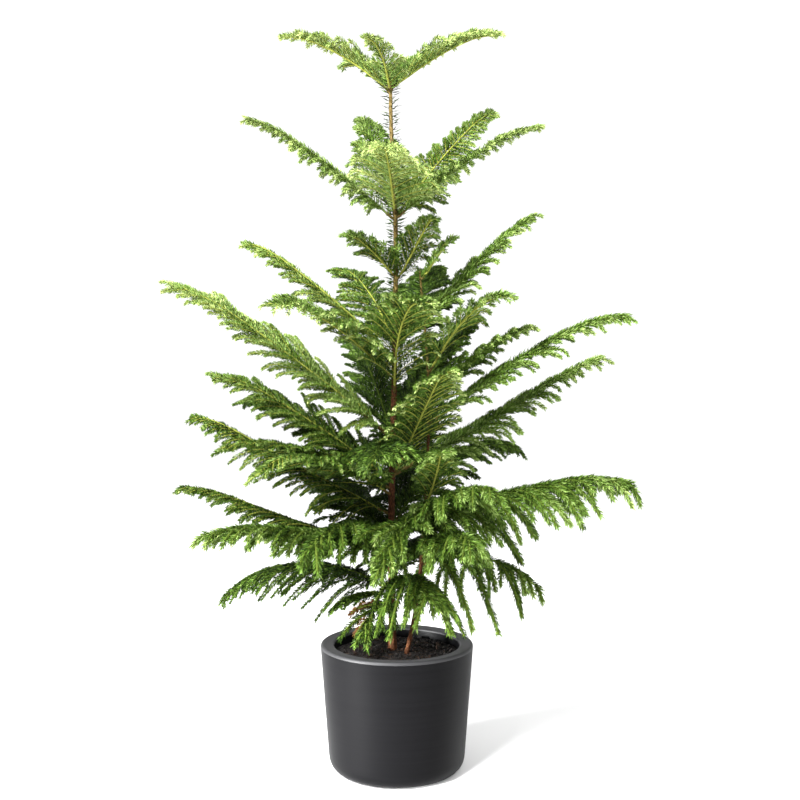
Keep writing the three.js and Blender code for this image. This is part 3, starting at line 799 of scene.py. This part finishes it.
# The same curve as the solids': a centripetal spline through the path.
def stem_curve(stem):
    path = np.array(stem.path, float)
    path = np.concatenate([[2 * path[0] - path[1]], path, [2 * path[-1] - path[-2]]])
    share = np.linspace(0, 1, STEM_CURVE_STEPS, endpoint=False)[:, None]
    curve = []
    for before, start, end, after in zip(path, path[1:], path[2:], path[3:]):
        spans = ((before, start), (start, end), (end, after))
        first, middle, last = (np.linalg.norm(b - a) ** 0.5 for a, b in spans)
        leave = (start - before) / first - (end - before) / (first + middle) + (end - start) / middle
        arrive = (end - start) / middle - (after - start) / (middle + last) + (after - end) / last
        leave = leave * middle
        arrive = arrive * middle
        square = -3 * start + 3 * end - 2 * leave - arrive
        cube = 2 * start - 2 * end + leave + arrive
        curve.append(start + leave * share + square * share ** 2 + cube * share ** 3)
    return np.concatenate(curve + [path[-2:-1]])


def stem_centre(stem, heights):
    curve = stem_curve(stem)
    heights = np.asarray(heights, float)
    x, y = (np.interp(heights, curve[:, 2], curve[:, axis]) for axis in (0, 1))
    return np.stack([x, y, heights], axis=-1)


def stem_radius(stem, height):
    shoulder = stem.path[-1][2] - stem.tip_length
    share = np.minimum(1, (height - SOIL_LEVEL) / (shoulder - SOIL_LEVEL))
    flare = stem.flare * np.exp(-(height - SOIL_LEVEL) / stem.flare_height)
    narrowing = np.maximum(0, (height - shoulder) / stem.tip_length)
    return mix(mix(stem.foot_radius, stem.top_radius, share) + flare, stem.tip_radius, narrowing)


# Bark stands out in flakes that start sharply and thin out upwards, with fine grain between them.
def bark_relief(points, flake, depth):
    drift = smooth_noise(points * DRIFT_STRETCH, cell=4.5, seed=11)
    rows = (points[:, 2] / flake + ROW_DRIFT * drift) % 1
    flakes = (1 - rows) ** FLAKE_SHARPNESS * smooth_noise(points, cell=3.2, seed=12)
    grain = smooth_noise(points * GRAIN_STRETCH, cell=1.3, seed=13)
    return depth * (flakes + GRAIN_SHARE * grain - RELIEF_MIDDLE)


def bark_tube(points, radii, sides, flake, depth):
    rings = tube_rings(points, radii, sides, BARK_SIDE)
    centres = np.repeat(points[:, None], sides, axis=1).reshape(-1, 3)
    skin = rings.reshape(-1, 3)
    outward = unit(skin - centres)
    relief = bark_relief(skin, flake, np.minimum(depth, RELIEF_MOST * np.repeat(radii, sides)))
    skin = skin + outward * relief[:, None]
    closing = np.concatenate([skin, points[-1:]])
    last = (len(points) - 1) * sides
    corner = np.arange(sides)
    cap = np.stack([last + corner, last + (corner + 1) % sides, np.full(sides, len(skin))], axis=-1)
    return closing, np.concatenate([ring_triangles(len(points), sides), cap])


def stem_shape(stem, sides, foot, top):
    heights = np.linspace(foot, top, int((top - foot) / STEM_RING_STEP))
    above_soil = np.maximum(heights, stem.path[0][2])
    centres = stem_centre(stem, above_soil)
    centres[:, 2] = heights
    return bark_tube(centres, stem_radius(stem, above_soil), sides, STEM_FLAKE, STEM_RELIEF)


# Boughs

class Axis:
    def __init__(self, whorl, bough, draws):
        azimuth = math.radians(bough.azimuth)
        self.bough = bough
        self.name = f"{whorl.name}_{bough.side}"
        self.outward = np.array([math.cos(azimuth), math.sin(azimuth), 0])
        self.sideways = np.array([-self.outward[1], self.outward[0], 0])
        self.length = math.hypot(bough.reach, bough.rise)
        self.sweep = SWEEP * self.length * (2 * next(draws) - 1)
        self.roll = math.radians(bough.roll + ROLL * (2 * next(draws) - 1))
        self.angle = whorl.angle if bough.angle is None else bough.angle
        self.twig = whorl.twig if bough.twig is None else bough.twig
        self.lift = whorl.lift if bough.lift is None else bough.lift
        self.hang = whorl.hang if bough.hang is None else bough.hang
        self.style = STYLES[bough.style or whorl.style]
        centre = stem_centre(whorl.stem, bough.height)
        inset = stem_radius(whorl.stem, bough.height) + GAP
        self.start = centre + self.outward * inset
        self.run = bough.reach - inset

    def points(self, share):
        share = np.asarray(share, float)[:, None]
        bow = 4 * share * (1 - share)
        level = self.start + self.outward * self.run * share + self.sideways * self.sweep * bow
        fall = np.maximum(0, (share - AXIS_NOD_FROM) / (1 - AXIS_NOD_FROM)) ** 2
        bend = self.bough.arch * bow + AXIS_NOD * (share - fall)
        climb = self.bough.rise * share + bend * self.length
        return level + climb * UP

    def directions(self, share, near=0.01):
        share = np.asarray(share, float)
        return unit(self.points(share + near) - self.points(share - near))

    def normals(self, share):
        along = self.directions(share)
        across = unit(np.cross(along, UP))
        above = np.cross(across, along)
        return above * math.cos(self.roll) + across * math.sin(self.roll)


def bare_share(axis):
    return axis.bough.limb or BARE_SHARE


def axis_radius(axis, share):
    limb = axis.bough.limb
    outer = mix(AXIS_ROOT_RADIUS, AXIS_TIP_RADIUS, np.maximum(0, (share - limb) / (1 - limb)))
    thick = LIMB_ROOT_RADIUS if limb else BARE_THICKNESS * AXIS_ROOT_RADIUS
    return outer + (thick - AXIS_ROOT_RADIUS) * np.maximum(0, 1 - share / bare_share(axis))


def limb_shape(axis):
    end = bare_share(axis)
    share = np.linspace(0, end, max(FEWEST_RINGS, int(axis.length * end / STEM_RING_STEP)))
    points = axis.points(share)
    points[0] -= axis.outward * LIMB_SINK
    return bark_tube(points, axis_radius(axis, share), LIMB_SIDES, LIMB_FLAKE, LIMB_RELIEF)


def stalk_shape(axis):
    start = bare_share(axis) * STALK_OVERLAP
    share = np.linspace(start, AXIS_END, AXIS_STEPS)
    normals = axis.normals(share)
    full = np.minimum(1, np.minimum(share - start, AXIS_END - share) / AXIS_RISE_SHARE)
    points = axis.points(share) + normals * axis.style.bough_rise * full[:, None]
    rings = tube_rings(points, axis_radius(axis, share), AXIS_SIDES, normals)
    return rings.reshape(-1, 3), ring_triangles(AXIS_STEPS, AXIS_SIDES)


# Twigs

@dataclass
class Twigs:
    root: np.ndarray
    heading: np.ndarray
    normal: np.ndarray
    length: np.ndarray
    hang: np.ndarray
    nod: np.ndarray
    tone: np.ndarray
    tips: np.ndarray
    step: np.ndarray
    rows: np.ndarray
    needle: np.ndarray
    taper: np.ndarray
    radius: np.ndarray
    dry: np.ndarray

    # Points and directions at shares of the twigs' lengths, one share for each twig given.
    def points(self, twig, share):
        length = (self.length[twig] * share)[..., None]
        sag = self.hang[twig] * self.length[twig] * share ** 2
        to_tip = (1 - share) * self.length[twig]
        nod = self.nod[twig] * np.maximum(0, 1 - to_tip / TWIG_NOD_LENGTH) ** 2
        return self.root[twig] + self.heading[twig] * length - (sag + nod)[..., None] * UP

    def directions(self, twig, share, near=0.02):
        return unit(self.points(twig, share + near) - self.points(twig, share - near))


# The share of the longest twig that grows at a place along the bough: a willow leaf's outline.
def twig_profile(share):
    rising = np.minimum(1, share / WIDEST_AT) ** PROFILE_RISE
    falling = 1 - np.maximum(0, (share - WIDEST_AT) / (1 - WIDEST_AT))
    return rising * np.maximum(PROFILE_LEAST, falling ** PROFILE_FALL)


def is_in_pot(points):
    from_axis = np.hypot(points[..., 0], points[..., 1])
    height = points[..., 2]
    over_wall = (from_axis > POT_MOUTH_RADIUS - WALL_GAP) & (from_axis < POT_RIM_RADIUS + WALL_GAP)
    return (height < SOIL_LEVEL + SOIL_GAP) | (over_wall & (height < POT_HEIGHT + RIM_GAP))


# Shortens the twigs that would reach into the pot or its soil.
def keep_clear_of_pot(twigs):
    whole = twigs.length.copy()
    every = np.arange(len(whole))
    waiting = np.ones(len(whole), bool)
    for part in SHORTER:
        twigs.length[waiting] = whole[waiting] * part
        places = [twigs.points(every, np.full(len(whole), share)) for share in TESTED_AT]
        waiting = np.any([is_in_pot(place) for place in places], axis=0)
    return twigs


def grow_twigs(axis):
    style = axis.style
    count = round(axis.length * (1 - FIRST_TWIG) / axis.bough.spacing) * 2
    index = np.arange(count)
    place = index + (1 - PLACE_SWING) / 2 + PLACE_SWING * rng.random(count)
    share = mix(FIRST_TWIG, LAST_TWIG, place / count)
    side = np.where(index % 2, 1, -1)[:, None]
    along = axis.directions(share)
    normal = axis.normals(share)
    across = np.cross(along, normal) * side
    spread = axis.angle * style.spread * mix(1, TIP_ANGLE_SHARE, share)
    angle = np.radians(spread + style.wild * ANGLE_SWING * swing(count))[:, None]
    lift = axis.lift + LIFT_SWING * swing(count)
    longest = min(axis.twig, TWIG_SHARE_MOST * axis.length)
    uneven = style.wild * LENGTH_SWING
    length = longest * twig_profile(share) * (1 - uneven + uneven * LENGTH_RANGE * rng.random(count))
    hang = axis.hang * (1 + style.wild * HANG_SWING * swing(count))
    nod = style.nod * axis.bough.fresh * np.minimum(TWIG_NOD, TWIG_NOD_SHARE * length)
    nod = nod * (TWIG_NOD_LEAST + rng.random(count))
    # Painted shade: needles grow darker towards the bough's root, inside the crown.
    tone = FRESH_AND_SHADE_TONE * axis.bough.fresh + BOUGH_PAINTED_SHADE_SLOPE * (share - 0.5)
    tone = tone + TWIG_TONE_SCATTER * rng.normal(size=count)
    return keep_clear_of_pot(Twigs(
        root=axis.points(share),
        heading=unit(along * np.cos(angle) + across * np.sin(angle) + normal * lift[:, None]),
        normal=normal,
        length=length,
        hang=hang,
        nod=nod,
        tone=tone,
        tips=np.full(count, axis.bough.tips),
        dry=(index % DRY_EVERY == 1) & (axis.name == DRY_BOUGH),
        **{name: np.full(count, getattr(style, name)) for name in STYLED},
    ))


def twigs_shape(twigs):
    count = len(twigs.length)
    twig = np.repeat(np.arange(count)[:, None], TWIG_STEPS + 1, axis=1)
    shares = np.repeat(np.linspace(0, 1, TWIG_STEPS + 1)[None], count, axis=0)
    points = twigs.points(twig, shares)
    radii = twigs.radius[:, None] * mix(1, TWIG_TIP_SHARE, shares)
    rings = tube_rings(points, radii, TWIG_SIDES, twigs.normal[twig])
    triangles = ring_triangles(TWIG_STEPS + 1, TWIG_SIDES)
    return rings.reshape(-1, 3), repeat_triangles(triangles, count, (TWIG_STEPS + 1) * TWIG_SIDES)


# Needles

@dataclass
class Needles:
    root: np.ndarray
    along: np.ndarray
    outward: np.ndarray
    length: np.ndarray
    spread: np.ndarray
    curl: np.ndarray
    tone: np.ndarray
    dry: np.ndarray


# Directions square to the wood, each at its own turn from the upper side.
def around(along, upper, turn):
    across = unit(np.cross(upper, along))
    above = np.cross(along, across)
    return above * np.cos(turn)[:, None] + across * np.sin(turn)[:, None]


# Each needle's wood, its share of the wood's length and its turn from the upper side.
def needle_rows(lengths, step, rows):
    steps = np.maximum(FEWEST_STEPS, np.round(lengths / step).astype(int))
    counts = steps * rows
    wood = np.repeat(np.arange(len(counts)), counts)
    index = np.arange(len(wood)) - np.repeat(np.cumsum(counts) - counts, counts)
    angle, start = np.array(NEEDLE_ROWS, float).T
    row = index % rows[wood]
    place = index // rows[wood] + start[row] + ROW_SCATTER * rng.normal(size=len(wood))
    turn = np.radians(angle[row] + TURN_SCATTER * rng.normal(size=len(wood)))
    return wood, np.clip(place / steps[wood], FIRST_NEEDLE, 1), turn


# Needles at their roots, with lengths, angles and tones that scatter as the stand says.
def stand_needles(stand, root, along, outward, length, to_tip, tone, dry):
    count = len(root)
    length = length * (stand.shortest + stand.longer * rng.random(count))
    spread = np.radians(mix(*stand.spread, to_tip) + stand.spread_scatter * rng.normal(size=count))
    curl = np.radians(stand.curl + stand.curl_scatter * rng.normal(size=count))
    tone = tone + stand.tone_scatter * rng.normal(size=count)
    return Needles(root, along, outward, length, spread, curl, tone, dry)


def twig_needles(twigs):
    twig, share, turn = needle_rows(twigs.length, twigs.step, twigs.rows)
    root = twigs.points(twig, share)
    along = twigs.directions(twig, share)
    outward = around(along, twigs.normal[twig], turn)
    length = twigs.needle[twig] * (1 - twigs.taper[twig] * share ** 2)
    # Painted shade: needles grow darker towards the twig's root.
    tone = twigs.tone[twig] + TWIG_PAINTED_SHADE_SLOPE * (share - 0.5)
    return stand_needles(TWIG_STAND, root, along, outward, length, share ** 4, tone, twigs.dry[twig])


# New growth ends each twig in a brush of close needles that point onwards.
def brush_needles(twigs):
    twig = np.repeat(np.arange(len(twigs.length)), BRUSH_NEEDLES)
    total = len(twig)
    brush = BRUSH_LENGTH * (1 + BRUSH_GROWTH * twigs.tips[twig])
    share = 1 - np.minimum(BRUSH_SHARE_MOST, brush / twigs.length[twig]) * rng.random(total)
    root = twigs.points(twig, share)
    along = twigs.directions(twig, share)
    outward = around(along, twigs.normal[twig], GOLDEN_ANGLE * np.arange(total))
    length = BRUSH_NEEDLE_SHARE * (1 - twigs.taper[twig]) * twigs.needle[twig]
    tone = twigs.tone[twig] + twigs.tips[twig]
    return stand_needles(BRUSH_STAND, root, along, outward, length, 1, tone, twigs.dry[twig])


def bough_needles(axis):
    rows = np.array([axis.style.bough_rows])
    _, share, turn = needle_rows(np.array([axis.length]), BOUGH_NEEDLE_STEP, rows)
    share = share * AXIS_END
    root = axis.points(share)
    along = axis.directions(share)
    outward = around(along, axis.normals(share), turn)
    length = axis.style.bough_needle * (1 - BOUGH_NEEDLE_TAPER * share)
    growth = np.maximum(0, share - NEW_GROWTH_FROM) / (1 - NEW_GROWTH_FROM)
    tone = FRESH_AND_SHADE_TONE * axis.bough.fresh - BOUGH_TONE_DROP + (NEW_GROWTH_TONE + axis.bough.tips) * growth
    dry = np.zeros(len(share), bool)
    return stand_needles(BOUGH_STAND, root, along, outward, length, share ** 2, tone, dry)


def stem_needles(stem, low, high, size, spacing, tone, near=2):
    count = int((high - low) / spacing)
    height = mix(low, high, (np.arange(count) + rng.random(count)) / count)
    along = unit(stem_centre(stem, height + near) - stem_centre(stem, height - near))
    outward = around(along, BACK, GOLDEN_ANGLE * np.arange(count))
    depth = STEM_NEEDLE_DEPTH * stem_radius(stem, height)
    root = stem_centre(stem, height) + outward * depth[:, None]
    return stand_needles(STEM_STAND, root, along, outward, size, 0, tone, np.zeros(count, bool))


# A needle is a thin blade that bends back along its wood: a root, two corners at its middle and a point.
def needles_shape(needles, chosen):
    along = needles.along[chosen]
    outward = needles.outward[chosen]
    length = needles.length[chosen][:, None]
    spread = needles.spread[chosen][:, None]
    bent = spread - needles.curl[chosen][:, None]
    first = along * np.cos(spread) + outward * np.sin(spread)
    second = along * np.cos(bent) + outward * np.sin(bent)
    across = np.cross(along, outward)
    upward = np.cross(unit(first + second), across)
    turn = math.pi * rng.random((len(chosen), 1))
    flat = (across * np.cos(turn) + upward * np.sin(turn)) * NEEDLE_HALF_WIDTH
    root = needles.root[chosen]
    middle = root + first * length * NEEDLE_BEND_AT
    point = middle + second * length * (1 - NEEDLE_BEND_AT)
    points = np.stack([root, middle + flat, middle - flat, point], axis=1)
    triangles = np.array([(0, 1, 2), (3, 2, 1)])
    return points.reshape(-1, 3), repeat_triangles(triangles, len(points), 4)


def make_needle_pieces(needles):
    tone = np.clip(needles.tone, 0, 1)
    lower = -1.0
    groups = []
    for name, upper, colour in GREENS:
        groups.append((name, colour, (tone > lower) & (tone <= upper) & ~needles.dry))
        lower = upper
    groups.append((*DRY, needles.dry))
    most = MOST_TRIANGLES // NEEDLE_TRIANGLES
    for name, colour, mask in groups:
        chosen = np.flatnonzero(mask)
        material = needle_material(f"needles_{name}", colour)
        parts = np.array_split(chosen, math.ceil(len(chosen) / most))
        for number, part in enumerate(parts, start=1):
            shape = needles_shape(needles, part)
            make_piece(f"needles_{name}_{number}", shape, material, smooth=False)


# Making the pieces

def make_pot_and_soil():
    walls, rim = pot_shapes()
    charcoal = pot_material("pot_charcoal", POT_CHARCOAL, roughness=0.42, gloss=0.05)
    make_piece("pot_shell", walls, charcoal, ["pot"])
    # The rim is painted paler than the walls: painted light on its top.
    painted_rim = pot_material("pot_worn_rim", POT_RIM_PAINTED_LIGHT, roughness=0.55, gloss=0.25)
    make_piece("pot_rim", rim, painted_rim)
    dark_soil = soil_material("soil_dark", SOIL_DARK)
    make_piece("soil_bed", soil_shape(), dark_soil, ["soil"])
    crumbs = crumbs_shape(count=900, least=2, most=8, thickness=0.8)
    make_piece("soil_crumbs", crumbs, dark_soil)
    bits = crumbs_shape(count=130, least=3, most=11, thickness=0.3)
    make_piece("soil_bits", bits, soil_material("soil_bark_bits", SOIL_BITS))
    grains = crumbs_shape(count=14, least=1.2, most=2.6, thickness=0.9)
    make_piece("soil_grains", grains, soil_material("soil_pale_grains", SOIL_GRAINS))
    fibres = fibres_shape(count=90, least=8, most=38)
    make_piece("soil_strands", fibres, soil_material("soil_fibres", SOIL_FIBRES))


def make_stems_and_boughs(axes):
    bark = bark_material("bark_scaly")
    olive = bark_material("bark_olive")
    leader = bark_material("bark_leader")
    foot = SOIL_LEVEL + GAP - STEM_SINK
    lengths = [
        ("trunk_bark", TRUNK, 26, foot, YOUNG_FROM + STEM_OVERLAP, bark, [TRUNK.name]),
        ("trunk_young_bark", TRUNK, 22, YOUNG_FROM, LEADER_FROM + STEM_OVERLAP, olive, []),
        ("leader_bark", TRUNK, 20, LEADER_FROM, TRUNK.path[-1][2], leader, []),
        ("second_stem_bark", SECOND, 18, foot, SECOND_YOUNG_FROM + STEM_OVERLAP, bark, [SECOND.name]),
        ("second_young_bark", SECOND, 16, SECOND_YOUNG_FROM, SECOND.path[-1][2], olive, []),
    ]
    for name, stem, sides, low, high, material, nodes in lengths:
        make_piece(name, stem_shape(stem, sides, low, high), material, nodes)
    limbs = join([limb_shape(axis) for axis in axes])
    limb_nodes = [f"bough_{axis.name}" for axis in axes if axis.bough.limb]
    make_piece("boughs_bark", limbs, olive, limb_nodes)


# Young open fronds and strands have yellow stalks, all other boughs green ones. Since freshness also
# carries painted shade, back and lower boughs darkened as painted shade get the darker green stalks too.
def has_yellow_stalk(axis):
    return axis.bough.fresh > YELLOW_STALK_FROM and axis.style.yellow


def make_fronds(name, axes, stalk):
    stalks = join([stalk_shape(axis) for axis in axes])
    make_piece(f"stalks_{name}", stalks, stalk)
    twigs = join_groups([grow_twigs(axis) for axis in axes])
    nodes = [f"foliage_{axis.name}" for axis in axes]
    make_piece(f"twigs_{name}", twigs_shape(twigs), stalk, nodes)
    return [twig_needles(twigs), brush_needles(twigs)] + [bough_needles(axis) for axis in axes]


def make_foliage(axes):
    yellow = [axis for axis in axes if has_yellow_stalk(axis)]
    green = [axis for axis in axes if not has_yellow_stalk(axis)]
    beds = make_fronds("yellow", yellow, bark_material("stalk_yellow"))
    beds += make_fronds("green", green, bark_material("stalk_green"))
    beds += [stem_needles(*bed) for bed in STEM_NEEDLES]
    make_needle_pieces(join_groups(beds))


# Stage: floor, light and camera. Lamps are placed in metres.

def make_floor():
    row = FLOOR_STEPS + 1
    line = (np.linspace(-FLOOR_HALF_SIDE, FLOOR_HALF_SIDE, row) * MM).tolist()
    points = [(x, y, 0) for y in line for x in line]
    corners = [y * row + x for y in range(FLOOR_STEPS) for x in range(FLOOR_STEPS)]
    quads = [(corner, corner + 1, corner + row + 1, corner + row) for corner in corners]
    mesh = bpy.data.meshes.new("floor")
    mesh.from_pydata(points, [], quads)
    mesh.materials.append(floor_material())
    floor = add_object("floor", mesh)


def aim(place, target):
    facing = np.array(target, float) - np.array(place, float)
    yaw = math.atan2(facing[0], -facing[1])
    pitch = math.atan2(math.hypot(facing[0], facing[1]), -facing[2])
    return pitch, 0, yaw + math.pi


def make_lamp(name, kind, place, target, power):
    light = bpy.data.lights.new(name, kind)
    light.energy = power
    lamp = add_object(name, light)
    lamp.location = place
    lamp.rotation_euler = aim(place, target)
    return light


def make_disk_lamp(name, place, target, size, power):
    light = make_lamp(name, "AREA", place, target, power)
    light.shape = "DISK"
    light.size = size


# A soft lamp low on the left, aimed at the pot.
def make_pot_spot():
    light = make_lamp("pot_spot", "SPOT", place=(-1.58, -0.98, 0.2), target=(0, 0, 0.09), power=2700)
    light.shadow_soft_size = 0.22
    light.spot_size = math.radians(11)
    light.spot_blend = 0.6


def make_world(strength):
    world = bpy.data.worlds.new("studio")
    world.use_nodes = True
    background = world.node_tree.nodes["Background"]
    background.inputs["Color"].default_value = (1, 1, 1, 1)
    background.inputs["Strength"].default_value = strength
    bpy.context.scene.world = world


def make_camera():
    camera = bpy.data.cameras.new("camera")
    camera.lens = CAMERA_LENS
    camera.sensor_width = CAMERA_SENSOR
    camera.clip_end = CAMERA_CLIP
    eye = add_object("camera", camera)
    eye.location = [value * MM for value in CAMERA_PLACE]
    eye.rotation_euler = (math.radians(90 - CAMERA_DIP), 0, 0)
    bpy.context.scene.camera = eye


def make_stage():
    make_floor()
    make_world(strength=1.15)
    make_disk_lamp("key", place=(-1.5, -2.2, 2.6), target=(0, 0, 0.6), size=1.2, power=420)
    make_disk_lamp("fill", place=(2.2, -1.6, 1.2), target=(0, 0, 0.5), size=2.0, power=30)
    make_pot_spot()
    make_camera()
    bpy.context.scene.view_settings.view_transform = "Standard"


draws = seeded_random(SEED)
all_axes = [Axis(whorl, bough, draws) for whorl in WHORLS for bough in whorl.boughs]
make_stage()
make_pot_and_soil()
make_stems_and_boughs(all_axes)
make_foliage(all_axes)
